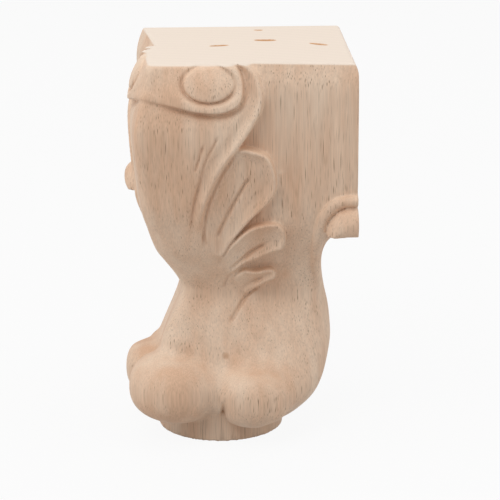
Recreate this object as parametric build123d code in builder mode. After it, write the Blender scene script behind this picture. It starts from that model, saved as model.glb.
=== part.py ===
"""A carved corner leg for a cabinet or a sofa, cut from one block of rubberwood.

The square head has two plain inner faces (+X and +Y) and two carved outer faces (-X and -Y).
The carving is the same on both outer faces, mirrored about the diagonal of the head.
A paw points to the outer corner and stands on a round pad.
Across and reach are measured from the axis of the head, and proud from the head's flat outer face.
"""
import os
from math import cos, radians, sin, sqrt

from build123d import *

# Head
height = 100.0          # floor to the top face
block = 55.0            # side of the square head
head_depth = 43.4       # top face to the underside of the head
ground_dish = 3.3       # how far the carved ground sinks beside the scroll
top_round = 1.2         # easing of the top edge of the inner faces
# Each row is drop below the top, how far the carved faces stand back there
ground_rows = [(0.0, 1.5), (4.0, 0.7), (12.0, 0.0), (34.0, 0.0), (head_depth, 2.2)]

# Knee, seen from an outer face
# Each row is drop below the top, how far it stands proud, where its strap ends across the face
knee_rows = [
    (0.0, -2.9, 0.4),
    (4.0, -1.3, 3.2),
    (8.0, -0.6, 4.0),
    (12.0, 0.4, 3.0),
    (18.0, 1.9, -0.4),
    (24.0, 1.7, -4.6),
    (32.0, 0.7, -8.8),
    (40.0, -0.6, -11.2),
    (46.0, -2.9, -10.6),
    (52.0, -6.7, -8.0),
    (58.0, -11.5, -5.0),
]
knee_round = 9.0        # rounding of the outer corner
strap_round = 1.2       # rounding of the strap's edge
strap_rim = 1.3         # radius of the rolled rim along the strap
rim_rows = 9            # knee rows that the rim runs along

# Shank
# Each row is the level, how far the outer corner and the inner faces stand proud of the head,
# the narrowing of the outer faces towards the back, the rounding of the outer and of the other corners
paw_height = 26.0       # top of the paw, where the ankle starts
heel_rows = [           # level above the floor
    (2.5, -7.0, -20.1, 0.2, 12.0, 11.0),
    (8.0, -3.0, -13.4, 0.2, 12.0, 12.0),
    (14.0, -1.8, -9.0, 0.6, 12.0, 12.0),
    (20.0, -2.5, -6.7, 2.6, 11.0, 11.0),
    (paw_height, -4.1, -5.8, 3.9, 8.0, 10.0),
]
ankle_rows = [          # level as a share of the way from the paw to the head
    (0.20, -7.1, -6.2, 3.3, 5.0, 8.0),
    (0.39, -10.5, -7.2, 1.0, 4.0, 5.5),
    (0.52, -10.1, -7.9, 0.2, 6.0, 4.0),
    (0.65, -8.3, -8.3, 0.2, 6.0, 3.0),
    (0.80, -6.2, -8.0, 0.2, 6.0, 2.5),
    (0.92, -4.9, -6.5, 0.2, 6.0, 2.5),
]
root_rows = [           # level above the underside of the head
    (1.0, -4.1, -3.6, 0.2, 6.0, 2.5),
    (7.0, -4.3, -3.4, 0.2, 6.0, 2.5),
]

# Scroll across the top of the knee
scroll_proud = 1.9      # how far the lower edge of the scroll's face stands proud
scroll_lean = 14.0      # backward lean of the scroll's face, in degrees
scroll_left_drop = 7.6  # drop of the scroll's lower edge at the outer corner
scroll_low_drop = 11.7  # drop of the scroll's lowest point
scroll_right = -1.2     # right end of the scroll, across
scroll_body = 10.0      # depth of the scroll's body
scroll_corner = 21.8    # across of the scroll's outer corner at the top
corner_lean = 44.0      # backward lean of the cut across that corner, in degrees
scroll_spare = 1.0      # how far the scroll's outline runs past the block before it is cut
eye_across = -9.7       # centre of the scroll's eye
eye_drop = 2.5          # centre of the eye below the top
eye_radius = 6.1
eye_rise = 1.4          # how far the eye's dome stands out of the scroll
turn_left = 2.0         # start of the scroll's turn, left of the eye's centre
turn_drop = 5.4         # drop of the scroll's right end

# Leaves on an outer face
# Each row is the stem end and the tip (across, proud, drop), then the widest radius
leaf_rows = [
    ((-9.6, -8.3, 53.0), (5.6, -6.6, 20.8), 8.4),
    ((-6.8, -9.6, 57.0), (9.2, -4.4, 41.2), 4.5),
    ((-5.4, -13.6, 66.6), (7.0, -11.2, 53.8), 3.9),
]
leaf_widest = 0.62      # share of a leaf's length from its stem to its widest point

# Corner scroll beside the cove: a roundel and the band that runs round it
roundel_inset = 5.5     # roundel centre from the inner face
roundel_drop = 39.2
roundel_radius = 4.2
roundel_proud = 3.9
band_radius = 1.7
band_points = [         # inset from the inner face, proud, drop
    (0.0, -0.5, 34.8),
    (5.0, -0.5, 35.4),
    (8.8, -1.3, 39.4),
    (10.4, -4.3, 45.4),
    (10.6, -7.5, 52.0),
    (10.1, -11.9, 59.0),
]

# Paw
# Each toe is its root inside the paw (across, reach, height), its tip (across, proud, height)
# and its widest radius
side_toe = ((1.5, 8.0, 14.4), (1.7, 4.5, 12.0), 8.6)
front_toe = ((-4.0, 4.0, 17.0), (-26.7, -0.8, 13.8), 11.0)
toe_widest = 0.6        # share of a toe's length from its root to its widest point

# Pad under the paw
pad_offset = 6.7        # pad centre from the axis, along X and along Y, towards the outer corner
pad_radius = 16.3
pad_height = 8.0

half = block / 2
head_base = height - head_depth
scroll_reach = half + scroll_proud
eye_dome = (eye_radius**2 + eye_rise**2) / (2 * eye_rise)
diagonal = Plane(origin=(0, 0, 0), x_dir=(1, 1, 0), z_dir=(1, -1, 0))
corner_axis = Axis((0, 0, 0), (1, 1, 0))


def near_point(across, proud, drop):
    """A point of the -Y face."""
    return Vector(across, -half - proud, height - drop)


def head_section(drop, tuck):
    """The head's plan: plain inner faces, and outer faces that sink towards the scroll."""
    outer = half - tuck
    with BuildSketch(Plane.XY.offset(height - drop)) as outline:
        with BuildLine():
            Polyline(
                (half, half),
                (half, -outer),
                (0, -outer + ground_dish),
                (-outer / 2, -outer / 2),
                (-outer + ground_dish, 0),
                (-outer, half),
                close=True,
            )
        make_face()
    return outline.sketch


def corner_section(level, outer, inner, narrowing, outer_round, other_round):
    """A four-sided section with its outer corner at -outer and its inner faces at inner."""
    with BuildSketch(Plane.XY.offset(level)) as outline:
        with BuildLine():
            Polyline(
                (inner, inner),
                (inner, -outer + narrowing),
                (-outer, -outer),
                (-outer + narrowing, inner),
                close=True,
            )
        make_face()
        corners = outline.vertices().sort_by(corner_axis)
        fillet(corners[0], outer_round)
        sharp = outline.vertices().sort_by(corner_axis)[2:]
        fillet(sharp, other_round)
    return outline.sketch


def shank_section(level, outer_proud, inner_proud, *edges):
    """A section of the shank, its sides measured from the head's faces."""
    return corner_section(level, half + outer_proud, half + inner_proud, *edges)


def lobe(root, tip, radius, widest):
    """A plump lobe, pointed at its root, blunt at its tip and round about its length."""
    along = tip - root
    with BuildPart() as solid:
        with BuildSketch(Plane(origin=root, x_dir=along, z_dir=along.cross(Vector(1, 1, 1)))):
            with BuildLine():
                side = Spline(
                    (0, 0),
                    (widest * along.length, radius),
                    (along.length, 0),
                    tangents=((1, 0.4), (0, -1)),
                )
                Line(side @ 1, side @ 0)
            make_face()
        revolve(axis=Axis(root, along))
    return solid.part


def toe(root, tip, radius):
    """A toe of the paw, from a point inside the paw to a tip on the -Y side."""
    across, reach, level = root
    return lobe(
        Vector(across, -reach, level),
        Vector(tip[0], -half - tip[1], tip[2]),
        radius,
        toe_widest,
    )


# Scroll across the top of the -Y face, with its eye
scroll_face = Plane(
    origin=(0, -scroll_reach, height - scroll_low_drop),
    x_dir=(1, 0, 0),
    z_dir=(0, -cos(radians(scroll_lean)), sin(radians(scroll_lean))),
)
corner_cut = Plane(
    origin=(-scroll_corner, -scroll_corner, height),
    z_dir=(-cos(radians(corner_lean)), -cos(radians(corner_lean)), sqrt(2) * sin(radians(corner_lean))),
)
eye_level = (scroll_low_drop - eye_drop) / cos(radians(scroll_lean))
scroll_left = -scroll_reach - scroll_spare
with BuildPart() as scroll:
    with BuildSketch(Plane.XY.offset(height - scroll_low_drop)) as plan:
        with Locations((scroll_right, -scroll_reach)):
            Rectangle(scroll_right + scroll_reach, scroll_body, align=(Align.MAX, Align.MIN))
        fillet(plan.vertices().sort_by(corner_axis)[0], knee_round)
    extrude(amount=scroll_low_drop)
    with BuildSketch(Plane.XZ):
        with BuildLine():
            low = Line(
                (scroll_left, height - scroll_left_drop),
                (eye_across - turn_left, height - scroll_low_drop),
            )
            turn = Spline(
                low @ 1,
                (scroll_right, height - turn_drop),
                (eye_across + eye_radius, height + scroll_spare),
                tangents=(low % 1, (-1, 1)),
            )
            Polyline(turn @ 1, (scroll_left, height + scroll_spare), low @ 0)
        make_face()
    extrude(amount=2 * scroll_reach, mode=Mode.INTERSECT)
    split(bisect_by=scroll_face, keep=Keep.BOTTOM)
    split(bisect_by=corner_cut, keep=Keep.BOTTOM)
    with Locations(scroll_face.offset(eye_rise - eye_dome)):
        with Locations((eye_across, eye_level)):
            Sphere(eye_dome)
    split(bisect_by=Plane.XY.offset(height), keep=Keep.BOTTOM)

# Corner scroll beside the cove of the -Y face: a roundel, and the band round it
with BuildPart() as roundel:
    with Locations(near_point(half - roundel_inset, roundel_proud - roundel_radius, roundel_drop)):
        Sphere(roundel_radius)

band_path = [near_point(half - inset, proud, drop) for inset, proud, drop in band_points]
with BuildPart() as band:
    with BuildLine():
        path = Spline(*band_path, tangents=((-1, 0, 0), band_path[-1] - band_path[-2]))
    with BuildSketch(Plane(origin=path @ 0, z_dir=path % 0)):
        Circle(band_radius)
    sweep()

# Rolled rim along the edge of the knee's strap on the -Y face
with BuildPart() as rim:
    with BuildLine():
        path = Spline(
            *[near_point(edge, proud - strap_rim / 2, drop) for drop, proud, edge in knee_rows[:rim_rows]]
        )
    with BuildSketch(Plane(origin=path @ 0, z_dir=path % 0)):
        Circle(strap_rim)
    sweep()
    split(bisect_by=Plane.XY.offset(height), keep=Keep.BOTTOM)

# Knee at the outer corner
with BuildPart() as knee:
    loft([
        corner_section(height - drop, half + proud, edge, 0, knee_round, strap_round)
        for drop, proud, edge in reversed(knee_rows)
    ])

# Shank: heel, ankle, and the root that enters the head
ankle = head_base - paw_height
shank_sections = [shank_section(*row) for row in heel_rows]
shank_sections += [shank_section(paw_height + share * ankle, *rest) for share, *rest in ankle_rows]
shank_sections += [shank_section(head_base + level, *rest) for level, *rest in root_rows]
with BuildPart() as shank:
    loft(shank_sections)

leaves = [
    lobe(near_point(*stem), near_point(*tip), radius, leaf_widest)
    for stem, tip, radius in leaf_rows
]
toes = [toe(*side_toe), toe(*front_toe)]

# Half of the leg, on the -Y side of the diagonal
with BuildPart() as near_half:
    loft([head_section(drop, tuck) for drop, tuck in reversed(ground_rows)], ruled=True)
    inner_edges = near_half.faces().sort_by(Axis.Z)[-1].edges().group_by(SortBy.LENGTH)[-1]
    fillet(inner_edges, top_round)
    for piece in [shank, knee, scroll, roundel, band, rim]:
        add(piece.part)
    add(leaves)
    add(toes)
    with BuildSketch():
        with Locations((-pad_offset, -pad_offset)):
            Circle(pad_radius)
    extrude(amount=pad_height)
    split(bisect_by=diagonal, keep=Keep.TOP)

# Both halves, as one solid
with BuildPart() as carved:
    add(near_half.part)
    mirror(near_half.part, about=diagonal)

# The leg, with the middle of its outline over the origin
middle = carved.part.bounding_box().center()
with BuildPart() as leg:
    with Locations((-middle.X, -middle.Y, 0)):
        add(carved.part)

os.makedirs("parts", exist_ok=True)
leg.part.label = "leg"
export_step(leg.part, "parts/leg.step")
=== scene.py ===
"""Studio view of a carved rubberwood corner leg, laid out as an add-on and run as a script.

The leg is carved as a person would carve it: a plan of each outer face says how far the wood
reaches at every point, both outer faces cut the block, and the paw and its pad join on below.
Across is measured along an outer face from the axis of the head, reach outwards from that axis
and level upwards from the floor, all in millimetres.
"""
import math

import bpy
import numpy as np
from bpy.props import FloatProperty, FloatVectorProperty, IntProperty, PointerProperty
from mathutils import Matrix, Vector


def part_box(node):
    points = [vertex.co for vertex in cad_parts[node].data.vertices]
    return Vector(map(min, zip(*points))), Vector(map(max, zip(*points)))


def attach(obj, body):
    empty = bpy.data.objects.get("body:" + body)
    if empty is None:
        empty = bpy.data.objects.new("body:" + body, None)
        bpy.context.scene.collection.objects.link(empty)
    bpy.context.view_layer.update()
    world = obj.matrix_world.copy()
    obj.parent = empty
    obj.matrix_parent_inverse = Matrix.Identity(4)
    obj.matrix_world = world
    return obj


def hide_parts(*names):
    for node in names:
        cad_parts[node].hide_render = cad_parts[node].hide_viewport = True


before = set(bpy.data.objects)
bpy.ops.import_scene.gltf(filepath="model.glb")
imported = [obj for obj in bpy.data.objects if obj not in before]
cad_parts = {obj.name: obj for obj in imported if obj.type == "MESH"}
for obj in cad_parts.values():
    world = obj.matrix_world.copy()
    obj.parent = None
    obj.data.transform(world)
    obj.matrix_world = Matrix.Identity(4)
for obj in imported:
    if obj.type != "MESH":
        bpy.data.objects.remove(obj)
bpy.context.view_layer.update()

bl_info = {
    "name": "Carved Corner Leg",
    "version": (1, 0, 0),
    "blender": (4, 5, 0),
    "location": "View3D > Sidebar > Leg",
    "description": "Carves a rubberwood corner leg and sets it in a small photo studio",
    "category": "Object",
}

MM = 0.001
LOW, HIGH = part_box("leg")
HEIGHT = HIGH.z / MM
HALF = 27.5                      # half the side of the square head
AXIS = HIGH.x / MM - HALF        # the head's axis in the frame, the same along X and Y
HEAD_BASE = 56.6                 # underside of the head
TOP_EASING = (3.0, 0.9)          # height and depth of the easing along the top of the inner faces
HEAD_EDGE = 0.8                  # rounding of the edge between the inner faces
FACE_EDGE = 0.6                  # rounding of the edges between inner and outer faces
PLAN_LOW = (-36.0, -3.0)         # across and level where a face's plan starts, and where it ends
PLAN_HIGH = (HALF + 4, HEIGHT + 3)

# Ground of an outer face: level, reach in the middle, and gain of reach for 20 mm to the right
GROUND = [
    (0.0, 18.0, 2.0), (4.0, 21.5, 3.0), (8.0, 24.2, 4.0), (12.0, 25.2, 4.0), (16.0, 24.4, 2.4),
    (20.0, 22.8, 0.0), (24.0, 21.1, -1.2), (28.0, 19.4, -1.6), (32.0, 17.8, -1.5), (38.0, 16.3, -0.6),
    (42.0, 17.2, -0.1), (46.0, 19.0, 0.0), (50.0, 20.9, 0.2), (54.0, 22.8, 0.8), (58.0, 24.4, 1.5),
    (62.0, 25.2, 2.0), (66.0, 25.5, 2.3), (88.0, 25.8, 2.4), (95.0, 25.5, 2.4), (100.0, 23.9, 2.5),
]
GROUND_MIDDLE = 10.0             # across at which the reach holds
GROUND_SPAN = 20.0               # width over which it gains

# Knee: level and reach
KNEE = [
    (38.0, 16.6), (40.0, 17.0), (42.0, 17.8), (44.0, 19.0), (47.0, 21.1), (50.0, 23.2), (54.0, 25.0),
    (57.0, 26.0), (60.0, 27.0), (63.0, 27.7), (68.0, 28.3), (74.5, 29.0), (79.0, 29.4), (84.0, 29.4),
    (88.0, 28.6), (92.0, 27.6), (96.0, 26.6), (100.0, 24.8),
]
# Rolled rim of the strap: distance in from its edge, width; level and height over which it rises
STRAP_RIM = (1.1, 0.75)
STRAP_RIM_FADE = (60.0, 8.0)
STRAP_TROUGH = (0.6, 3.2, 1.1)   # trough beside the rim: depth as a share of the rim, distance in, width
# Edge of the strap on the knee: level, across, and width of the edge's slope
STRAP = [
    (38.0, 2.0, 7.0), (40.0, 1.0, 6.5), (44.0, -2.0, 6.0), (48.0, -5.0, 5.0), (52.0, -7.8, 4.0),
    (55.0, -9.6, 3.0), (57.5, -11.0, 1.8), (60.6, -11.1, 1.3), (64.5, -10.3, 1.1), (68.3, -8.8, 1.1),
    (73.4, -6.5, 1.0), (78.0, -3.2, 1.0), (81.6, -0.7, 1.0), (85.6, 1.8, 1.0), (89.1, 3.5, 1.0),
    (92.4, 4.0, 1.0), (94.9, 3.5, 1.0), (98.7, 1.8, 1.0), (101.0, -1.2, 1.0),
]

# Scroll: its outline from the outer corner round the eye to the top, as across and level
SCROLL_EDGE = [
    (-36.0, 93.6), (-27.4, 91.8), (-21.7, 90.6), (-16.8, 89.6), (-11.9, 88.6), (-6.9, 88.4),
    (-3.2, 89.7), (-1.7, 91.3), (-1.2, 93.5), (-1.4, 96.6), (-2.4, 98.8), (-4.9, 101.0), (-8.0, 103.5),
]
SCROLL_CLOSE = [(-36.0, 103.5)]  # corner that closes the outline
SCROLL_FOOT = 87.0               # level at which the scroll's reach is given
SCROLL_EDGE_SLOPE = 0.8          # width of the slope round the scroll
SCROLL_EASING = (1.0, 0.6)       # height and depth of the easing along its top
# Groove under the scroll: depth, distance out from the outline, width; across and width of its run-out
UNDERCUT = (1.1, 0.3, 1.2)
UNDERCUT_FADE = (-20.0, 14.0)
# Lip along its edge: height, distance in from the outline, width; across and width of its run-out
LIP = (1.0, 1.6, 1.2)
LIP_FADE = (-21.0, 16.0)
# Eye: middle and half sizes as across and level
EYE = (-9.7, 95.5)
EYE_HALF = (6.4, 4.3)
EYE_DOME = 0.5                   # share of its rise that is gone at its rim
EYE_LEAN = 0.12                  # lean back for each millimetre of level
EYE_EDGE_SLOPE = 0.6             # width of the slope round the eye
# Groove and roll round the eye: depth or height, distance out from the eye, width
EYE_GROOVE = (0.5, 0.1, 0.4)
EYE_ROLL = (1.2, 1.7, 1.1)
EYE_ROLL_SPREAD = 3.0            # the roll falls away this many times wider on its outer side
EYE_ROLL_FADE = (0.6, 8.0)       # level over the eye's middle and height of its run-out
EYE_ROLL_START = 1.0             # width of the slope up to the roll

# Section of a leaf
LEAF_RIM = (0.7, 0.55)           # distance in from the outline, width
LEAF_HOLLOW = (0.8, 2.2, 2.4)    # depth, distance in and width of its slope
LEAF_VEIN = (0.45, 0.12)         # width, and share of the length that runs out at each end
LEAF_EDGE_SLOPE = 0.6            # width of the slope round a leaf
# Leaves, from the lowest: outline and vein as across and level, surface as level and reach,
# height of the rim
LEAVES = [
    {
        "outline": [(-4.0, 40.5), (-2.7, 44.0), (-0.7, 45.8), (1.9, 45.5), (5.7, 46.2), (7.3, 45.1),
                    (7.0, 43.0), (4.4, 41.7), (1.1, 39.1), (-1.2, 36.4), (-3.6, 32.6), (-5.2, 34.5)],
        "vein": [(4.2, 43.6), (0.6, 41.4), (-1.6, 39.0), (-3.4, 36.4)],
        "surface": [(32.0, 18.6), (36.0, 18.6), (40.0, 19.4), (44.0, 20.6), (47.0, 21.2)],
        "rim": 0.5,
    },
    {
        "outline": [(-6.8, 50.4), (-3.4, 54.8), (0.2, 58.0), (3.6, 59.2), (7.0, 59.4), (9.0, 57.6),
                    (9.8, 54.7), (8.8, 52.0), (6.2, 51.0), (2.7, 49.2), (-0.7, 47.7), (-2.7, 45.8),
                    (-5.0, 43.0), (-7.0, 45.0)],
        "vein": [(4.8, 53.6), (1.9, 51.9), (-0.7, 49.8), (-3.2, 47.2), (-4.8, 45.0)],
        "surface": [(42.0, 18.6), (46.0, 21.0), (50.0, 23.3), (54.0, 24.8), (57.0, 25.8), (60.0, 26.2)],
        "rim": 0.6,
    },
    {
        "outline": [(-2.0, 79.3), (1.7, 78.7), (5.0, 77.1), (6.7, 73.3), (7.2, 69.4), (6.2, 66.3),
                    (3.5, 63.0), (0.9, 60.4), (-0.8, 58.3), (-4.1, 53.9), (-6.2, 50.0), (-9.0, 50.5),
                    (-11.5, 56.0), (-12.4, 61.0), (-11.4, 65.0), (-9.6, 69.0), (-7.6, 73.0),
                    (-4.6, 77.4)],
        "vein": [(0.6, 72.2), (-1.3, 69.0), (-3.1, 65.7), (-5.1, 61.8), (-6.6, 58.4), (-7.9, 54.8)],
        "surface": [(48.0, 21.6), (52.0, 23.6), (57.0, 25.3), (62.0, 26.6), (68.0, 27.6), (74.0, 28.2),
                    (80.0, 28.2)],
        "rim": 0.7,
    },
]
# Fine lines cut with a parting tool, as across and level
LINE_CUT = (0.3, 0.15)           # width, and share of the length that runs out at each end
LINES = [
    [(-7.4, 83.0), (-8.2, 81.2), (-10.7, 76.1), (-12.0, 70.9), (-13.3, 65.8), (-14.1, 60.6),
     (-14.4, 57.0)],
    [(-11.0, 81.0), (-12.4, 76.6), (-13.4, 73.2)],
    [(-3.4, 45.4), (-5.2, 42.6), (-6.0, 39.6)],
]
# Cuts that part the leaves from the strap and from each other: depth, and path as across and level
PARTING_CUT = (0.5, 0.12)        # width, and share of the length that runs out at each end
PARTINGS = [
    (1.3, [(-2.2, 79.6), (-4.3, 76.5), (-6.9, 72.4), (-8.8, 68.3), (-10.3, 64.5), (-11.1, 60.6),
           (-11.2, 56.5), (-11.0, 52.0)]),
    (0.6, [(3.6, 62.8), (0.9, 60.2), (-0.9, 58.0), (-4.2, 53.6), (-6.3, 49.8), (-7.5, 47.0)]),
    (1.0, [(3.0, 39.8), (1.1, 38.8), (-1.2, 36.0), (-3.4, 32.8), (-4.6, 31.0)]),
]

# Corner scroll: path of its band (across, level, half width, height) and its pillow
BAND = [
    (30.0, 65.4, 1.7, 2.2), (25.0, 65.2, 1.7, 2.2), (21.6, 64.0, 1.7, 2.1), (19.2, 60.8, 1.7, 1.9),
    (18.0, 56.0, 1.6, 1.6), (17.6, 51.0, 1.4, 1.3), (17.6, 46.5, 1.2, 0.9), (18.4, 42.0, 1.0, 0.4),
    (19.6, 38.0, 1.0, 0.0),
]
PILLOW = [
    (33.0, 63.8), (24.5, 63.6), (22.4, 62.6), (20.8, 60.6), (19.8, 58.4), (19.6, 56.4), (33.0, 56.4),
]
PILLOW_REACH = (27.4, 31.7)      # at its edge and on its crown
PILLOW_ROUND = 4.2               # width over which it swells
PILLOW_BASE = 0.35               # share of that width that it has at the underside of the head
PILLOW_EDGE_SLOPE = 0.4          # width of the slope round it

# Plain inner faces of the shank: level, reach, rounding of the corners beside them
INNER = [
    (0.0, 4.6, 11.0), (3.2, 9.4, 11.0), (4.8, 12.1, 11.5), (8.0, 15.3, 12.0), (11.4, 17.8, 12.0),
    (14.6, 19.5, 12.0), (18.0, 20.7, 11.5), (21.0, 21.5, 11.0), (25.0, 22.1, 10.0), (28.6, 22.0, 9.5),
    (33.5, 21.4, 7.5), (38.4, 20.3, 5.5), (42.4, 19.6, 4.0), (46.0, 19.2, 3.0), (48.5, 19.2, 2.6),
    (51.0, 19.6, 2.4), (53.5, 20.7, 2.4), (55.0, 22.1, 2.4), (56.6, 24.4, 2.4), (58.0, 25.5, 2.4),
]
# Rounding of the outer corner: level and radius
CORNER = [
    (0.0, 12.0), (14.0, 12.0), (20.0, 10.0), (26.0, 6.5), (32.0, 3.5), (37.0, 3.0), (40.0, 4.0),
    (44.0, 5.0), (48.0, 5.5), (54.0, 4.5), (60.0, 3.0), (68.0, 2.2), (90.0, 1.6), (100.0, 1.6),
]
# Fall of both faces towards the outer corner
BEND_START = 10.0                # distance from the axis where it starts
BEND_DEPTH = 1.6                 # its depth at the corner
BEND_END = 1.2                   # how far it goes on, where 1 is the corner
BEND_FADE = (50.0, 16.0)         # level and height over which it comes in, going up
BEND_TOP = (0.5, 96.0, 6.0)      # share that it loses at the top, level and height over which it does

# Paw: centre and half sizes of the toes, and the pad under them
FRONT_TOE = (-17.4, 14.3)        # distance from the axis along X and along Y, level
FRONT_TOE_HALF = (13.6, 12.0, 9.7)
SIDE_TOE = (1.5, -22.4, 12.7)    # along its face and square to it from the axis, level
SIDE_TOE_HALF = (9.9, 9.4, 8.4)
TOE_FULLNESS = 2.3               # an egg has 2, and more is squarer
TOE_BLEND = (2.2, 3.8)           # width of the blend into the shank, front toe and side toes
# Cuts between the toes and over them: depth, width, and path as across and level
CREASE_FADE = 0.35               # share of the length that runs out at each end
CREASES = [
    (1.2, 0.6, [(-6.3, 14.0), (-6.4, 10.5), (-6.6, 7.5), (-6.7, 3.0)]),
    (0.3, 1.5, [(-24.0, 25.6), (-20.0, 25.2), (-14.0, 22.8), (-10.5, 20.6), (-7.5, 18.0), (-6.4, 15.5)]),
    (0.8, 1.2, [(-6.0, 20.5), (-1.0, 20.2), (4.0, 19.6), (8.0, 18.0), (11.0, 15.0)]),
    (0.7, 1.0, [(2.0, 5.6), (6.0, 5.8), (10.0, 7.4), (13.0, 10.5)]),
]
PAD_OFFSET = -6.7                # its middle, from the axis along X and along Y
PAD_RADIUS = 16.3
PAD_HEIGHT = 8.0                 # its upper part lies in the paw
PAD_EDGE = 0.6                   # rounding of its upper edge
PAD_BLEND = 0.8                  # width of its blend into the paw

# Torn grain in the top face: middle and half length along X and Y from the head's axis, width, depth
TOP_MARKS = [
    ((-6.3, -0.3), (2.3, 0.5), 0.7, 0.9),
    ((5.9, 6.5), (2.7, -0.2), 1.1, 1.1),
    ((19.4, 0.2), (2.1, -1.5), 0.7, 0.9),
    ((4.8, 20.8), (1.0, -0.1), 0.5, 0.5),
]
TORN_AND_SHADE_FADE = 0.3                  # distance over which the torn spots' colour ends: their own orange, darkened with painted shade of the dents
FINE_ZONE = 2.0                  # distance from a torn spot in which the mesh stays fine
MARK_ZONE = 3.0                  # height under the top that holds the torn spots

# Wood: unit of each pattern along X, Y and Z. Fibres are drawn coarser than real ones, so that they show.
PATCH = (9.0, 9.0, 48.0)
FIBRE = (0.34, 0.34, 18.0)
LONG_PORE = (0.55, 0.55, 15.0)
SHORT_PORE = (0.36, 0.36, 7.0)
PORE_CROWD = (10.0, 10.0, 24.0)
RING = 3.2                       # width of a growth ring
RING_LENGTH = 6.0                # the rings' waver along the trunk, in ring widths
HEART = (-40.0, -130.0)          # heart of the trunk along X and Y, in the frame
PATCH_SHIFT = (84.2, 13.4, 51.7)  # place in the pattern of patches, in its units
KNOT = (-5.8, -23.0, 23.4)       # small knot over the toes, from the head's axis
KNOT_SIZE = (0.3, 1.4)           # radius of its core and of its edge
END_FADE = (0.5, 0.2)            # distance from the top where the sawn end's colour starts and is full

# Soft boxes: name, place and size in metres, power in watts
LIGHTS = [
    ("key_light", (-0.45, -0.7, 1.0), 0.6, 4.7),
    ("left_light", (-1.0, -0.1, 0.5), 0.7, 3.2),
    ("right_light", (0.9, -0.3, 0.5), 0.7, 2.8),
    ("top_light", (0.05, 0.1, 1.1), 0.9, 4.2),
]
FLOOR_HALF = 4.0                 # half the floor's side in metres


def per_mm(*size):
    """Scale of a pattern whose unit is this many millimetres along X, Y and Z."""
    return [1 / (one * MM) for one in size]


def linear(hex_colour):
    """Linear RGBA of an sRGB hex colour."""
    parts = [int(hex_colour[i:i + 2], 16) / 255 for i in (1, 3, 5)]
    return tuple(p / 12.92 if p <= 0.04045 else ((p + 0.055) / 1.055) ** 2.4 for p in parts) + (1.0,)


class LegSizes(bpy.types.PropertyGroup):
    """Sizes of the carving that a user would change."""
    cell: FloatProperty(
        name="Cell", description="Size of the cells that the leg is carved in",
        default=0.38 * MM, min=0.3 * MM, unit="LENGTH")
    plan_cell: FloatProperty(
        name="Plan cell", description="Size of the cells of a face's plan",
        default=0.15 * MM, min=0.05 * MM, unit="LENGTH")
    triangles: IntProperty(
        name="Triangles", description="Triangles that the finished leg keeps", default=186000)
    eye_rise: FloatProperty(
        name="Eye rise", description="Height of the eye over the scroll's face", default=1.8 * MM,
        unit="LENGTH")
    scroll_reach: FloatProperty(
        name="Scroll reach", description="Reach of the scroll's face at its lower edge",
        default=29.6 * MM, unit="LENGTH")
    scroll_lean: FloatProperty(
        name="Scroll lean", description="Backward lean of the scroll's face",
        default=math.radians(18.0), subtype="ANGLE")
    rim_height: FloatProperty(
        name="Rim height", description="Height of the rolled rim along the strap", default=0.7 * MM,
        unit="LENGTH")
    vein_depth: FloatProperty(
        name="Vein depth", description="Depth of the veins cut into the leaves", default=1.1 * MM,
        unit="LENGTH")
    line_depth: FloatProperty(
        name="Line depth", description="Depth of the fine lines on the knee", default=0.6 * MM,
        unit="LENGTH")
    top_round: FloatProperty(
        name="Top rounding", description="Easing of the top edge", default=0.4 * MM, unit="LENGTH")
    sanding: FloatProperty(
        name="Sanding", description="Unevenness that hand sanding leaves", default=0.05 * MM,
        unit="LENGTH")
    sanding_size: FloatProperty(
        name="Sanding size", description="Width of one uneven patch", default=7.0 * MM, unit="LENGTH")


class WoodColours(bpy.types.PropertyGroup):
    """Colours of the bare rubberwood."""
    side_grain: FloatVectorProperty(
        name="Side grain", description="Wood cut along the grain", default=linear("#e4cab2"),
        size=4, subtype="COLOR")
    warm_grain: FloatVectorProperty(
        name="Warm grain", description="Warmer streaks in the wood", default=linear("#d7b295"),
        size=4, subtype="COLOR")
    end_grain: FloatVectorProperty(
        name="End grain", description="Sawn end of the block", default=linear("#e6d7c8"),
        size=4, subtype="COLOR")
    # Torn spots: their own orange, darkened with painted shade of the dents
    torn_grain_and_shade: FloatVectorProperty(
        name="Torn grain", description="Rough wood in the torn spots of the sawn end",
        default=linear("#c8935f"), size=4, subtype="COLOR")
    pore: FloatVectorProperty(
        name="Pores", description="Open vessels along the grain", default=linear("#7d5f47"),
        size=4, subtype="COLOR")
    knot: FloatVectorProperty(
        name="Knot", description="Small knot over the toes", default=linear("#a9764f"),
        size=4, subtype="COLOR")


class StudioSettings(bpy.types.PropertyGroup):
    """Camera and light of the studio."""
    azimuth: FloatProperty(
        name="Azimuth", description="Turn of the camera about the leg", default=math.radians(-2.394),
        subtype="ANGLE")
    elevation: FloatProperty(
        name="Elevation", description="Height of the camera as an angle", default=math.radians(16.188),
        subtype="ANGLE")
    roll: FloatProperty(
        name="Roll", description="Tilt of the camera about its view", default=math.radians(0.198),
        subtype="ANGLE")
    distance: FloatProperty(
        name="Distance", description="Camera to the point that it looks at", default=585.95 * MM,
        unit="LENGTH")
    aim: FloatVectorProperty(
        name="Aim", description="Point that the camera looks at, from the foot of the head's axis",
        default=(1.5415 * MM, 0.9774 * MM, 44.716 * MM), subtype="TRANSLATION", unit="LENGTH")
    lens: FloatProperty(
        name="Lens", description="Focal length", default=159.2, unit="CAMERA")
    paper: FloatVectorProperty(
        name="Paper", description="Floor of the studio", default=linear("#c8c8c8"),
        size=4, subtype="COLOR")
    glow: FloatProperty(
        name="Glow", description="Share of plain white that the camera sees in the floor", default=0.92)
    room: FloatProperty(
        name="Room", description="Strength of the light that the pale room gives", default=0.36)


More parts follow.
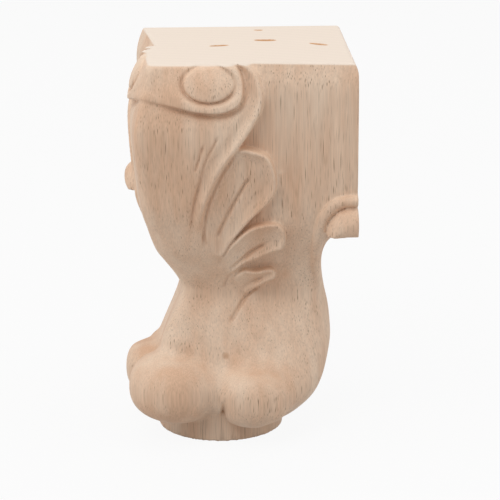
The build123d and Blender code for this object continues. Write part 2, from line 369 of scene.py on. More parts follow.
def rows_at(level, rows, column=1):
    """A column of the rows at each level, on a smooth curve through them."""
    table = np.array(rows, float)
    at, value = table[:, 0], table[:, column]
    slope = np.gradient(value, at)
    level = np.clip(level, at[0], at[-1])
    i = np.clip(np.searchsorted(at, level) - 1, 0, len(at) - 2)
    gap = at[i + 1] - at[i]
    t = (level - at[i]) / gap
    start = (1 + 2 * t) * (1 - t) ** 2 * value[i] + t * (1 - t) ** 2 * gap * slope[i]
    end = t**2 * (3 - 2 * t) * value[i + 1] + t**2 * (t - 1) * gap * slope[i + 1]
    return start + end


def smooth_path(points, closed=False, per_span=8):
    """Points on a smooth curve through the given ones."""
    points = np.array(points, float)
    if closed:
        ring = np.vstack([points[-1:], points, points[:2]])
    else:
        ring = np.vstack([2 * points[0] - points[1], points, 2 * points[-1] - points[-2]])
    t = np.linspace(0, 1, per_span, endpoint=False)[:, None]
    spans = []
    for a, b, c, d in zip(ring, ring[1:], ring[2:], ring[3:]):
        bend = a - 2.5 * b + 2 * c - d / 2 + t * (1.5 * (b - c) + (d - a) / 2)
        spans.append(b + t * ((c - a) / 2 + t * bend))
    spans.append(ring[-2:-1])
    return np.vstack(spans)


def path_distance(path, across, level):
    """Distance of each point of a plan from a path, and the share of the path passed there."""
    best = np.full(across.shape, np.inf)
    share = np.zeros(across.shape)
    last = len(path) - 1
    for k in range(last):
        start = path[k]
        run = path[k + 1] - start
        length = run @ run
        if length == 0:
            continue
        du, dz = across - start[0], level - start[1]
        t = np.clip((du * run[0] + dz * run[1]) / length, 0, 1)
        gap = np.hypot(du - t * run[0], dz - t * run[1])
        nearer = gap < best
        best = np.where(nearer, gap, best)
        share = np.where(nearer, (k + t) / last, share)
    return best, share


def depth_inside(path, across, level):
    """Distance from a closed path, positive inside it."""
    gap, _ = path_distance(np.vstack([path, path[:1]]), across, level)
    inside = np.zeros(across.shape, bool)
    for (u0, z0), (u1, z1) in zip(path, np.roll(path, -1, axis=0)):
        if z0 == z1:
            continue
        crosses = (z0 > level) != (z1 > level)
        inside ^= crosses & (across < u0 + (level - z0) * (u1 - u0) / (z1 - z0))
    return np.where(inside, gap, -gap)


def slope(distance, width):
    """0 to 1 across an edge, with a soft foot and lip."""
    t = np.clip(distance / width + 0.5, 0, 1)
    return t * t * (3 - 2 * t)


def bump(distance, width):
    """1 on a line, falling away on both sides."""
    return np.exp(-(distance / width) ** 2)


def soft_min(a, b, blend):
    """The lower of two distances, blended where they are close."""
    t = np.clip(0.5 + 0.5 * (b - a) / blend, 0, 1)
    return b + t * (a - b) - blend * t * (1 - t)


def round_max(a, b, radius):
    """The higher of two distances, with a rounded edge where the two surfaces meet."""
    inner = np.minimum(np.maximum(a, b), -radius)
    return inner + np.hypot(np.maximum(a + radius, 0), np.maximum(b + radius, 0))


def egg(across, along, up, half, fullness=2.0):
    """Distance from the surface of an egg of these half sizes; a fullness above 2 squares it up."""
    share = [np.abs(one) / size + 1e-4 for one, size in zip((across, along, up), half)]
    near = sum(s**fullness for s in share) ** (1 / fullness)
    steep = np.sqrt(sum(((s / near) ** (fullness - 1) / size) ** 2 for s, size in zip(share, half)))
    return (near - 1) / steep


class FacePlan:
    """Reach of an outer face over across and level, as its carver would draw it."""

    def __init__(self, sizes):
        self.cell = sizes.plan_cell / MM
        self.count = [int((high - low) / self.cell) for low, high in zip(PLAN_LOW, PLAN_HIGH)]
        across = PLAN_LOW[0] + self.cell * np.arange(self.count[0])
        level = PLAN_LOW[1] + self.cell * np.arange(self.count[1])
        self.across, self.level = np.meshgrid(across, level, indexing="ij")
        self.reach = self.ground()
        for leaf in LEAVES:
            self.add_leaf(leaf, sizes)
        self.add_knee(sizes)
        self.add_scroll(sizes)
        self.bend_to_corner()
        self.add_corner_scroll()
        for line in LINES:
            self.reach = self.reach - self.cut(line, sizes.line_depth / MM, *LINE_CUT)
        for depth, line in PARTINGS:
            self.reach = self.reach - self.cut(line, depth, *PARTING_CUT)
        self.crease = sum(self.cut(line, depth, width, CREASE_FADE) for depth, width, line in CREASES)

    def ground(self):
        """The plain face, dished towards the strap, and the shank below it."""
        tilt = rows_at(self.level, GROUND, 2) / GROUND_SPAN
        return rows_at(self.level, GROUND) + tilt * (self.across - GROUND_MIDDLE)

    def lay(self, mask, surface):
        """Puts a surface over the face where the mask is 1."""
        self.reach = self.reach + mask * (surface - self.reach)

    def cut(self, points, depth, width, fade):
        """Depth of a fine cut that runs out at both ends."""
        gap, share = path_distance(smooth_path(points), self.across, self.level)
        ends = np.clip(np.minimum(share, 1 - share) / fade, 0, 1)
        return depth * ends * bump(gap, width)

    def add_leaf(self, leaf, sizes):
        """A leaf with a raised rim, a hollow inside it and a vein."""
        depth = depth_inside(smooth_path(leaf["outline"], closed=True), self.across, self.level)
        surface = rows_at(self.level, leaf["surface"])
        place, width = LEAF_RIM
        surface = surface + leaf["rim"] * bump(depth - place, width)
        hollow, place, width = LEAF_HOLLOW
        surface = surface - hollow * slope(depth - place, width)
        self.lay(slope(depth, LEAF_EDGE_SLOPE), surface)
        self.reach = self.reach - self.cut(leaf["vein"], sizes.vein_depth / MM, *LEAF_VEIN)

    def add_knee(self, sizes):
        """The knee and the rolled rim along the edge of its strap."""
        edge = rows_at(self.level, STRAP)
        width = rows_at(self.level, STRAP, 2)
        lean = np.gradient(edge, self.cell, axis=1)
        depth = (edge - self.across) / np.hypot(1, lean)
        height = sizes.rim_height / MM * slope(self.level - STRAP_RIM_FADE[0], STRAP_RIM_FADE[1])
        rim = bump(depth - STRAP_RIM[0], STRAP_RIM[1])
        share, place, wide = STRAP_TROUGH
        surface = rows_at(self.level, KNEE) + height * (rim - share * bump(depth - place, wide))
        self.lay(slope(depth, width), np.maximum(surface, self.ground()))

    def add_scroll(self, sizes):
        """The scroll across the top of the knee: its face, its eye and the roll round the eye."""
        outline = np.vstack([smooth_path(SCROLL_EDGE), SCROLL_CLOSE])
        depth = depth_inside(outline, self.across, self.level)
        cut, place, width = UNDERCUT
        fade = slope(self.across - UNDERCUT_FADE[0], UNDERCUT_FADE[1])
        self.reach = self.reach - cut * fade * bump(np.minimum(depth, 0) + place, width)
        face = sizes.scroll_reach / MM - math.tan(sizes.scroll_lean) * (self.level - SCROLL_FOOT)
        above = self.level - EYE[1]
        middle = np.hypot((self.across - EYE[0]) / EYE_HALF[0], above / EYE_HALF[1])
        out = (middle - 1) * sum(EYE_HALF) / 2
        eye = sizes.eye_rise / MM * (1 - EYE_DOME * middle**2) - EYE_LEAN * above
        eye = eye * slope(-out, EYE_EDGE_SLOPE)
        height, place, width = LIP
        lip = height * bump(depth - place, width) * slope(self.across - LIP_FADE[0], LIP_FADE[1])
        height, place, width = EYE_ROLL
        beyond = np.where(out < place, out - place, (out - place) / EYE_ROLL_SPREAD)
        ring = height * bump(beyond, width) * slope(EYE_ROLL_FADE[0] - above, EYE_ROLL_FADE[1])
        roll = np.maximum(lip, ring) * slope(out, EYE_ROLL_START)
        cut, place, width = EYE_GROOVE
        groove = cut * bump(out - place, width)
        eased = SCROLL_EASING[1] * np.clip((self.level - HEIGHT) / SCROLL_EASING[0] + 1, 0, 1) ** 2
        self.lay(slope(depth, SCROLL_EDGE_SLOPE), face + eye + roll - groove - eased)

    def bend_to_corner(self):
        """Turns the knee and the scroll back a little towards the outer corner."""
        corner = rows_at(self.level, KNEE)
        turn = np.clip((-self.across - BEND_START) / (corner - BEND_START), 0, BEND_END)
        share, place, height = BEND_TOP
        fade = slope(self.level - BEND_FADE[0], BEND_FADE[1])
        fade = fade * (1 - share * slope(self.level - place, height))
        self.reach = self.reach - BEND_DEPTH * fade * turn**2

    def add_corner_scroll(self):
        """The pillow beside the cove and the band that runs round it."""
        plain = self.reach.copy()
        edge = np.array(PILLOW)
        depth, _ = path_distance(edge[:-1], self.across, self.level)
        depth = np.where(depth_inside(edge, self.across, self.level) > 0, depth, -1)
        under = PILLOW_BASE + (self.level - HEAD_BASE) / PILLOW_ROUND
        swell = np.sqrt(1 - (1 - np.clip(np.minimum(depth / PILLOW_ROUND, under), 0, 1)) ** 2)
        low, high = PILLOW_REACH
        self.lay(slope(depth, PILLOW_EDGE_SLOPE), low + swell * (high - low))
        path = smooth_path(BAND)
        gap, share = path_distance(path[:, :2], self.across, self.level)
        at = np.linspace(0, 1, len(path))
        half = np.interp(share, at, path[:, 2])
        height = np.interp(share, at, path[:, 3])
        roll = plain + height * np.sqrt(np.clip(1 - (gap / half) ** 2, 0, 1))
        self.reach = np.where(gap < half, np.maximum(self.reach, roll), self.reach)

    def creases(self, across, level):
        """Depth of the cuts between the toes at any points."""
        return self.between(self.crease, across, level)

    def at(self, across, level):
        """Reach at any points."""
        return self.between(self.reach, across, level)

    def between(self, values, across, level):
        """Values of a plan at any points, between its cells."""
        u = np.clip((across - PLAN_LOW[0]) / self.cell, 0, self.count[0] - 1.001)
        z = np.clip((level - PLAN_LOW[1]) / self.cell, 0, self.count[1] - 1.001)
        i, j = u.astype(int), z.astype(int)
        u, z = u - i, z - j
        low = values[i, j] * (1 - u) + values[i + 1, j] * u
        high = values[i, j + 1] * (1 - u) + values[i + 1, j + 1] * u
        return low * (1 - z) + high * z


def leg_distance(plan, sizes, u, w, z):
    """Distance from the leg's surface, negative in the wood.

    u and w are the larger and the smaller of X and Y, since the two outer faces mirror each other.
    """
    wood = round_max(-w - plan.at(u, z), -u - plan.at(w, z), rows_at(z, CORNER))
    inner = rows_at(z, INNER)
    back = rows_at(z, INNER, 2)
    shank = round_max(u - inner, w - inner, back)
    side = HALF - TOP_EASING[1] * np.clip((z - HEIGHT) / TOP_EASING[0] + 1, 0, 1) ** 2
    head = np.maximum(round_max(u - side, w - side, HEAD_EDGE), HEAD_BASE - z)
    edge = np.where(z < HEAD_BASE, back, FACE_EDGE)
    wood = round_max(wood, np.minimum(shank, head), edge)
    wood = round_max(wood, z - HEIGHT, sizes.top_round / MM)
    out, over = (u + w) / math.sqrt(2), (u - w) / math.sqrt(2)
    front = egg(out - math.sqrt(2) * FRONT_TOE[0], over, z - FRONT_TOE[1], FRONT_TOE_HALF, TOE_FULLNESS)
    side_toe = egg(u - SIDE_TOE[0], w - SIDE_TOE[1], z - SIDE_TOE[2], SIDE_TOE_HALF, TOE_FULLNESS)
    wood = soft_min(wood, front, TOE_BLEND[0])
    wood = soft_min(wood, side_toe, TOE_BLEND[1]) + plan.creases(u, z)
    pad = round_max(np.hypot(u - PAD_OFFSET, w - PAD_OFFSET) - PAD_RADIUS, z - PAD_HEIGHT, PAD_EDGE)
    return np.maximum(soft_min(wood, pad, PAD_BLEND), -z)


def mark_distance(x, y, z):
    """Distance from the torn spots in the top face, negative inside them."""
    best = np.full(np.broadcast(x, y, z).shape, np.inf)
    for middle, half, width, depth in TOP_MARKS:
        length = math.hypot(*half)
        along = ((x - middle[0]) * half[0] + (y - middle[1]) * half[1]) / length
        over = ((y - middle[1]) * half[0] - (x - middle[0]) * half[1]) / length
        best = np.minimum(best, egg(along, over, z - HEIGHT, (length, width, depth)))
    return best


def whole_distance(plan, sizes, points):
    """Distance from the leg's surface at rows of X, Y, Z, with the torn spots cut out."""
    x, y, z = points.T
    wood = leg_distance(plan, sizes, np.maximum(x, y), np.minimum(x, y), z)
    return np.maximum(wood, -mark_distance(x, y, z))


def close_pinches(field):
    """Fills grid points where wood would meet only along a line, so that the surface is one skin."""
    thin_wood = -0.01
    ends = (slice(None, -1), slice(1, None))
    filled = True
    while filled:
        filled = False
        for one, two in ((0, 1), (0, 2), (1, 2)):
            square = []
            for i in ends:
                for j in ends:
                    at = [slice(None)] * 3
                    at[one], at[two] = i, j
                    square.append(field[tuple(at)])
            low, left, right, high = square
            for wood, air in (((low, high), (left, right)), ((left, right), (low, high))):
                pinch = (wood[0] < 0) & (wood[1] < 0) & (air[0] >= 0) & (air[1] >= 0)
                nearer = air[0] < air[1]
                air[0][pinch & nearer] = thin_wood
                air[1][pinch & ~nearer] = thin_wood
                filled = filled or pinch.any()


def surface_net(field, first, cell):
    """Corners and four-sided faces of the surface where the field changes sign."""
    solid = field < 0
    shape = np.array(field.shape)
    corners = np.array([(i, j, k) for i in (0, 1) for j in (0, 1) for k in (0, 1)])
    inside = np.zeros(shape - 1, np.int8)
    for c in corners:
        inside += solid[c[0]:shape[0] - 1 + c[0], c[1]:shape[1] - 1 + c[1], c[2]:shape[2] - 1 + c[2]]
    cells = np.argwhere((inside > 0) & (inside < 8))
    value = np.stack([field[tuple((cells + c).T)] for c in corners], 1)
    total = np.zeros((len(cells), 3))
    crossings = np.zeros(len(cells))
    for a in range(8):
        for b in range(a + 1, 8):
            if np.abs(corners[a] - corners[b]).sum() != 1:
                continue
            cut = (value[:, a] < 0) != (value[:, b] < 0)
            t = value[cut, a] / (value[cut, a] - value[cut, b])
            total[cut] += corners[a] + t[:, None] * (corners[b] - corners[a])
            crossings[cut] += 1
    points = first + cell * (cells + total / crossings[:, None])
    number = np.full(shape - 1, -1)
    number[tuple(cells.T)] = np.arange(len(cells))
    faces = []
    for axis in range(3):
        one, two = (axis + 1) % 3, (axis + 2) % 3
        step = np.eye(3, dtype=int)
        low = [slice(1, -1)] * 3
        high = [slice(1, -1)] * 3
        low[axis], high[axis] = slice(0, -1), slice(1, None)
        start, end = solid[tuple(low)], solid[tuple(high)]
        offset = np.array([0 if k == axis else 1 for k in range(3)])
        for mask, order in ((start & ~end, 1), (end & ~start, -1)):
            edge = np.argwhere(mask) + offset
            ring = [edge - step[one] - step[two], edge - step[two], edge, edge - step[one]]
            faces.append(np.stack([number[tuple(r.T)] for r in ring], 1)[:, ::order])
    return points, np.vstack(faces)


def carve(plan, sizes):
    """Corners and faces of the carved leg, in millimetres from the foot of the head's axis."""
    cell = sizes.cell / MM
    low = LOW.x / MM - AXIS - 2 * cell
    span = np.arange(low, HALF + 3 * cell, cell)
    level = np.arange(-2 * cell, HEIGHT + 3 * cell, cell)
    i, j = np.tril_indices(len(span))
    half = leg_distance(plan, sizes, span[i][:, None], span[j][:, None], level[None, :])
    field = np.empty((len(span), len(span), len(level)))
    field[i, j] = half
    field[j, i] = half
    top = level > HEIGHT - MARK_ZONE
    marks = mark_distance(span[:, None, None], span[None, :, None], level[None, None, top])
    field[:, :, top] = np.maximum(field[:, :, top], -marks)
    close_pinches(field)
    points, faces = surface_net(field, np.array([low, low, level[0]]), cell)
    # Two steps along the slope of the distance bring the corners on to the surface
    nudge, flattest, longest = 0.05, 0.3, 0.4 * cell
    for _ in range(2):
        value = whole_distance(plan, sizes, points)
        steep = np.empty_like(points)
        for k, step in enumerate(nudge * np.eye(3)):
            ahead = whole_distance(plan, sizes, points + step)
            steep[:, k] = (ahead - whole_distance(plan, sizes, points - step)) / (2 * nudge)
        move = (value / np.maximum((steep**2).sum(1), flattest))[:, None] * steep
        points = points - np.clip(move, -longest, longest)
    return points, faces


def add_node(tree, kind, settings=None, **links):
    """Adds a node, sets its properties and values, and links its inputs."""
    node = tree.nodes.new(kind)
    for name, value in (settings or {}).items():
        setattr(node, name, value)
    for name, value in links.items():
        socket = node.inputs[int(name[1:])] if name[1:].isdigit() else node.inputs[name.replace("_", " ")]
        if isinstance(value, bpy.types.NodeSocket):
            tree.links.new(value, socket)
        else:
            socket.default_value = value
    return node


def new_material(name):
    """An empty node material and its tree."""
    material = bpy.data.materials.new(name)
    material.use_nodes = True
    material.node_tree.nodes.clear()
    return material, material.node_tree


def rubberwood(colours):
    """Bare sanded rubberwood: pale tan, matt, with dark open pores along the grain and paler end grain."""
    material, tree = new_material("rubberwood_sanded")
    place = add_node(tree, "ShaderNodeTexCoord").outputs["Object"]
    # Broad patches, pale to warm, drawn out along the trunk
    patch_place = add_node(tree, "ShaderNodeMapping", i0=place, i1=PATCH_SHIFT, i3=per_mm(*PATCH))
    patches = add_node(
        tree, "ShaderNodeTexNoise", Vector=patch_place.outputs[0], Scale=1.0, Detail=3.0, Roughness=0.6)
    patch = add_node(
        tree, "ShaderNodeMapRange", i0=patches.outputs["Fac"], i1=0.36, i2=0.66, i3=0.0, i4=1.0)
    side = add_node(
        tree, "ShaderNodeMix", {"data_type": "RGBA"}, i0=patch.outputs[0],
        i6=colours.side_grain, i7=colours.warm_grain)
    # Growth rings about a heart in front of the leg: contour lines where a form turns away.
    # At this scale of the wave, one ring is one unit wide.
    heart = add_node(
        tree, "ShaderNodeMapping", i0=place, i1=(-HEART[0] / RING, -HEART[1] / RING, 0.0),
        i3=per_mm(RING, RING, RING_LENGTH * RING))
    rings = add_node(
        tree, "ShaderNodeTexWave", {"wave_type": "RINGS", "rings_direction": "Z"}, i0=heart.outputs[0],
        Scale=math.pi / 10, Distortion=4.0, Detail=2.0, Detail_Scale=0.35)
    ring = add_node(
        tree, "ShaderNodeMapRange", i0=rings.outputs["Fac"], i1=0.0, i2=1.0, i3=0.984, i4=1.006)
    # Fibres, fine and long
    fibre_place = add_node(tree, "ShaderNodeMapping", i0=place, i3=per_mm(*FIBRE))
    fibres = add_node(tree, "ShaderNodeTexNoise", Vector=fibre_place.outputs[0], Scale=1.0, Detail=2.0)
    fibre = add_node(
        tree, "ShaderNodeMapRange", i0=fibres.outputs["Fac"], i1=0.3, i2=0.7, i3=0.91, i4=1.07)
    tone = add_node(
        tree, "ShaderNodeMath", {"operation": "MULTIPLY"}, i0=ring.outputs[0], i1=fibre.outputs[0])
    side = add_node(
        tree, "ShaderNodeVectorMath", {"operation": "SCALE"}, i0=side.outputs[2], Scale=tone.outputs[0])
    # Sawn end
    height = add_node(tree, "ShaderNodeSeparateXYZ", i0=place)
    end = add_node(
        tree, "ShaderNodeMapRange", i0=height.outputs["Z"], i1=(HEIGHT - END_FADE[0]) * MM,
        i2=(HEIGHT - END_FADE[1]) * MM, i3=0.0, i4=1.0)
    end_ring = add_node(
        tree, "ShaderNodeMapRange", i0=rings.outputs["Fac"], i1=0.0, i2=1.0, i3=0.982, i4=1.0)
    end_wood = add_node(
        tree, "ShaderNodeVectorMath", {"operation": "SCALE"}, i0=colours.end_grain[:3],
        Scale=end_ring.outputs[0])
    wood = add_node(
        tree, "ShaderNodeMix", {"data_type": "RGBA"}, i0=end.outputs[0], i6=side.outputs[0],
        i7=end_wood.outputs[0])
    # Torn spots of the sawn end, in their own orange darkened with painted shade of the dents, and the
    # knot over the toes
    torn = add_node(tree, "ShaderNodeAttribute", {"attribute_name": "torn"})
    wood = add_node(
        tree, "ShaderNodeMix", {"data_type": "RGBA"}, i0=torn.outputs["Fac"], i6=wood.outputs[2],
        i7=colours.torn_grain_and_shade)
    from_knot = add_node(
        tree, "ShaderNodeVectorMath", {"operation": "DISTANCE"}, i0=place,
        i1=[(AXIS + KNOT[0]) * MM, (AXIS + KNOT[1]) * MM, KNOT[2] * MM])
    knot = add_node(
        tree, "ShaderNodeMapRange", i0=from_knot.outputs["Value"], i1=KNOT_SIZE[0] * MM,
        i2=KNOT_SIZE[1] * MM, i3=0.95, i4=0.0)
    wood = add_node(
        tree, "ShaderNodeMix", {"data_type": "RGBA"}, i0=knot.outputs[0], i6=wood.outputs[2],
        i7=colours.knot)
    # Pores: a few long ones, many short ones, closer together in some places
    long_place = add_node(tree, "ShaderNodeMapping", i0=place, i3=per_mm(*LONG_PORE))
    long_pores = add_node(
        tree, "ShaderNodeTexVoronoi", {"feature": "F1"}, i0=long_place.outputs[0], Scale=1.0)
    long_pore = add_node(
        tree, "ShaderNodeMapRange", i0=long_pores.outputs["Distance"], i1=0.08, i2=0.22, i3=0.95, i4=0.0)
    short_place = add_node(tree, "ShaderNodeMapping", i0=place, i3=per_mm(*SHORT_PORE))
    short_pores = add_node(
        tree, "ShaderNodeTexVoronoi", {"feature": "F1"}, i0=short_place.outputs[0], Scale=1.0)
    short_pore = add_node(
        tree, "ShaderNodeMapRange", i0=short_pores.outputs["Distance"], i1=0.08, i2=0.32, i3=0.45, i4=0.0)
    pore = add_node(
        tree, "ShaderNodeMath", {"operation": "MAXIMUM"}, i0=long_pore.outputs[0],
        i1=short_pore.outputs[0])
    crowd_place = add_node(tree, "ShaderNodeMapping", i0=place, i3=per_mm(*PORE_CROWD))
    crowds = add_node(tree, "ShaderNodeTexNoise", Vector=crowd_place.outputs[0], Scale=1.0, Detail=2.0)
    crowd = add_node(
        tree, "ShaderNodeMapRange", i0=crowds.outputs["Fac"], i1=0.38, i2=0.62, i3=0.35, i4=1.0)
    pore = add_node(
        tree, "ShaderNodeMath", {"operation": "MULTIPLY"}, i0=pore.outputs[0], i1=crowd.outputs[0])
    # Dust closes the pores where the wood is cut across
    normal = add_node(tree, "ShaderNodeNewGeometry").outputs["Normal"]
    facing = add_node(tree, "ShaderNodeSeparateXYZ", i0=normal)
    across = add_node(tree, "ShaderNodeMath", {"operation": "ABSOLUTE"}, i0=facing.outputs["Z"])
    closed = add_node(
        tree, "ShaderNodeMapRange", i0=across.outputs[0], i1=0.2, i2=0.75, i3=1.0, i4=0.15)
    pore = add_node(
        tree, "ShaderNodeMath", {"operation": "MULTIPLY"}, i0=pore.outputs[0], i1=closed.outputs[0])
    tint = add_node(
        tree, "ShaderNodeMix", {"data_type": "RGBA"}, i0=pore.outputs[0], i6=wood.outputs[2],
        i7=colours.pore)
    dent = add_node(
        tree, "ShaderNodeBump", {"invert": True}, Strength=0.3, Distance=0.1 * MM, Height=pore.outputs[0])
    shader = add_node(
        tree, "ShaderNodeBsdfPrincipled", Base_Color=tint.outputs[2], Roughness=0.62, IOR=1.5,
        Normal=dent.outputs[0])
    shader.inputs["Specular IOR Level"].default_value = 0.3
    add_node(tree, "ShaderNodeOutputMaterial", Surface=shader.outputs[0])
    return material


def sanded_surface(material):
    """Node tree that leaves the slight unevenness of hand sanding on a surface and gives it its wood."""
    tree = bpy.data.node_groups.new("sanded_surface", "GeometryNodeTree")
    face = tree.interface
    face.new_socket("Geometry", in_out="INPUT", socket_type="NodeSocketGeometry")
    depth = face.new_socket("Depth", in_out="INPUT", socket_type="NodeSocketFloat")
    size = face.new_socket("Patch size", in_out="INPUT", socket_type="NodeSocketFloat")
    face.new_socket("Geometry", in_out="OUTPUT", socket_type="NodeSocketGeometry")
    start = add_node(tree, "NodeGroupInput")
    place = add_node(tree, "GeometryNodeInputPosition")
    scaled = add_node(tree, "ShaderNodeVectorMath", {"operation": "DIVIDE"}, i0=place.outputs[0],
                      i1=start.outputs["Patch size"])
    noise = add_node(tree, "ShaderNodeTexNoise", {"noise_dimensions": "4D"}, Vector=scaled.outputs[0],
                     W=3.0, Scale=1.0, Detail=1.0)
    middle = add_node(tree, "ShaderNodeMath", {"operation": "SUBTRACT"}, i0=noise.outputs["Fac"], i1=1.0)
    lift = add_node(tree, "ShaderNodeMath", {"operation": "MULTIPLY"}, i0=middle.outputs[0],
                    i1=start.outputs["Depth"])
    normal = add_node(tree, "GeometryNodeInputNormal")
    offset = add_node(tree, "ShaderNodeVectorMath", {"operation": "SCALE"}, i0=normal.outputs[0],
                      Scale=lift.outputs[0])
    moved = add_node(tree, "GeometryNodeSetPosition", Geometry=start.outputs["Geometry"],
                     Offset=offset.outputs[0])
    real = add_node(tree, "GeometryNodeRealizeInstances", Geometry=moved.outputs[0])
    dressed = add_node(tree, "GeometryNodeSetMaterial", Geometry=real.outputs[0], Material=material)
    add_node(tree, "NodeGroupOutput", Geometry=dressed.outputs[0])
    return tree, depth.identifier, size.identifier


def as_mesh(obj):
    """The object's mesh with its modifiers applied, put in place of the old one."""
    bpy.context.view_layer.update()
    evaluated = obj.evaluated_get(bpy.context.evaluated_depsgraph_get())
    mesh = bpy.data.meshes.new_from_object(evaluated)
    obj.modifiers.clear()
    obj.data = mesh
    mesh.name = obj.name


class LEG_OT_carve(bpy.types.Operator):
    """Carve the leg from its block"""
    bl_idname = "leg.carve"
    bl_label = "Carve Leg"

    def execute(self, context):
        sizes = context.scene.leg_sizes
        points, faces = carve(FacePlan(sizes), sizes)
        mesh = bpy.data.meshes.new("carved_leg")
        mesh.from_pydata((points + [AXIS, AXIS, 0]) * MM, [], faces)
        mesh.validate()
        leg = bpy.data.objects.new("carved_leg", mesh)
        context.scene.collection.objects.link(leg)
        spare = np.flatnonzero(mark_distance(*points.T) > FINE_ZONE)
        leg.vertex_groups.new(name="spare").add(spare.tolist(), 1.0, "REPLACE")
        thin = leg.modifiers.new("thin", "DECIMATE")
        thin.vertex_group = "spare"
        thin.ratio = min(1.0, sizes.triangles / (2 * len(faces)))
        as_mesh(leg)
        leg.vertex_groups.clear()
        tree, depth, size = sanded_surface(rubberwood(context.scene.wood_colours))
        sand = leg.modifiers.new("sand", "NODES")
        sand.node_group = tree
        sand[depth] = sizes.sanding
        sand[size] = sizes.sanding_size
        as_mesh(leg)
        leg.data.shade_smooth()
        # Share of the torn spots' colour at each corner: their own orange, darkened with painted shade of
        # the dents
        torn = leg.data.attributes.new("torn", "FLOAT", "POINT")
        place = np.empty(3 * len(leg.data.vertices))
        leg.data.vertices.foreach_get("co", place)
        place = place.reshape(-1, 3) / MM - [AXIS, AXIS, 0]
        torn.data.foreach_set("value", 1 - np.clip(mark_distance(*place.T) / TORN_AND_SHADE_FADE, 0, 1))
        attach(leg, "root")
        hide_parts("leg")
        return {"FINISHED"}


class LEG_OT_studio(bpy.types.Operator):
    """Set the floor, the lights and the camera"""
    bl_idname = "leg.studio"
    bl_label = "Set Studio"

    def execute(self, context):
        studio = context.scene.leg_studio
        add_floor(context, studio)
        add_lights(context, studio)
        add_camera(context, studio)
        context.scene.view_settings.view_transform = "Standard"
        return {"FINISHED"}


def seen_directly(tree):
    """1 for what the camera sees, straight on or in a mirror or glass, and 0 for the light that falls."""
    path = add_node(tree, "ShaderNodeLightPath")
    mirrored = add_node(
        tree, "ShaderNodeMath", {"operation": "MAXIMUM"}, i0=path.outputs["Is Glossy Ray"],
        i1=path.outputs["Is Transmission Ray"])
    seen = add_node(
        tree, "ShaderNodeMath", {"operation": "MAXIMUM"}, i0=path.outputs["Is Camera Ray"],
        i1=mirrored.outputs[0])
    return seen.outputs[0]


def add_floor(context, studio):
    """A wide sheet of matt paper, which the camera sees as nearly white."""
    material, tree = new_material("studio_paper")
    matt = add_node(tree, "ShaderNodeBsdfDiffuse", Color=studio.paper)
    white = add_node(tree, "ShaderNodeEmission", Color=(1.0, 1.0, 1.0, 1.0), Strength=1.0)
    share = add_node(
        tree, "ShaderNodeMapRange", i0=seen_directly(tree), i1=0.0, i2=1.0, i3=0.0, i4=studio.glow)
    seen = add_node(
        tree, "ShaderNodeMixShader", i0=share.outputs[0], i1=matt.outputs[0], i2=white.outputs[0])
    add_node(tree, "ShaderNodeOutputMaterial", Surface=seen.outputs[0])
    corners = [(FLOOR_HALF * x, FLOOR_HALF * y, 0) for x, y in ((-1, -1), (1, -1), (1, 1), (-1, 1))]
    mesh = bpy.data.meshes.new("studio_floor")
    mesh.from_pydata(corners, [], [(0, 1, 2, 3)])
    mesh.materials.append(material)
    floor = bpy.data.objects.new("studio_floor", mesh)
    context.scene.collection.objects.link(floor)


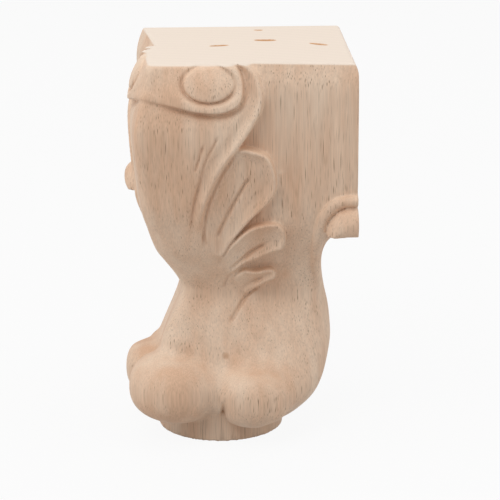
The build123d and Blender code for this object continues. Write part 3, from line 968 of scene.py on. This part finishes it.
def add_lights(context, studio):
    """Soft boxes round the leg and a pale room; the camera sees the room as white."""
    target = Vector((AXIS, AXIS, HEIGHT / 2)) * MM
    for name, place, size, power in LIGHTS:
        lamp = bpy.data.lights.new(name, "AREA")
        lamp.size = size
        lamp.energy = power
        light = bpy.data.objects.new(name, lamp)
        light.location = place
        light.rotation_euler = (target - Vector(place)).to_track_quat("-Z", "Y").to_euler()
        context.scene.collection.objects.link(light)
    world = bpy.data.worlds.new("pale_room")
    world.use_nodes = True
    tree = world.node_tree
    tree.nodes.clear()
    level = add_node(tree, "ShaderNodeMapRange", i0=seen_directly(tree), i3=studio.room, i4=1.0)
    room = add_node(tree, "ShaderNodeBackground", Color=(1.0, 1.0, 1.0, 1.0), Strength=level.outputs[0])
    add_node(tree, "ShaderNodeOutputWorld", Surface=room.outputs[0])
    context.scene.world = world


def add_camera(context, studio):
    """The camera at the photograph's angle."""
    a, e, r = studio.azimuth, studio.elevation, studio.roll
    back = Vector((math.sin(a) * math.cos(e), -math.cos(a) * math.cos(e), math.sin(e)))
    right = Vector((math.cos(a), math.sin(a), 0.0))
    up = back.cross(right)
    side = right * math.cos(r) - up * math.sin(r)
    rise = right * math.sin(r) + up * math.cos(r)
    place = Vector((AXIS, AXIS, 0)) * MM + studio.aim + back * studio.distance
    data = bpy.data.cameras.new("camera")
    data.lens = studio.lens
    data.sensor_width = 36.0
    data.clip_end = 20.0
    camera = bpy.data.objects.new("camera", data)
    turn = Matrix((side, rise, back)).transposed().to_4x4()
    camera.matrix_world = Matrix.Translation(place) @ turn
    context.scene.collection.objects.link(camera)
    context.scene.camera = camera


class LEG_PT_panel(bpy.types.Panel):
    """Sizes, colours and steps of the carved leg"""
    bl_label = "Carved Leg"
    bl_idname = "LEG_PT_panel"
    bl_space_type = "VIEW_3D"
    bl_region_type = "UI"
    bl_category = "Leg"

    def draw(self, context):
        for group in (context.scene.leg_sizes, context.scene.wood_colours, context.scene.leg_studio):
            box = self.layout.box()
            for name in group.__annotations__:
                box.prop(group, name)
        self.layout.operator(LEG_OT_carve.bl_idname)
        self.layout.operator(LEG_OT_studio.bl_idname)


CLASSES = (LegSizes, WoodColours, StudioSettings, LEG_OT_carve, LEG_OT_studio, LEG_PT_panel)


def register():
    for cls in CLASSES:
        bpy.utils.register_class(cls)
    bpy.types.Scene.leg_sizes = PointerProperty(type=LegSizes)
    bpy.types.Scene.wood_colours = PointerProperty(type=WoodColours)
    bpy.types.Scene.leg_studio = PointerProperty(type=StudioSettings)


def unregister():
    del bpy.types.Scene.leg_studio
    del bpy.types.Scene.wood_colours
    del bpy.types.Scene.leg_sizes
    for cls in reversed(CLASSES):
        bpy.utils.unregister_class(cls)


def main():
    register()
    bpy.ops.leg.carve()
    bpy.ops.leg.studio()


if __name__ == "__main__":
    main()
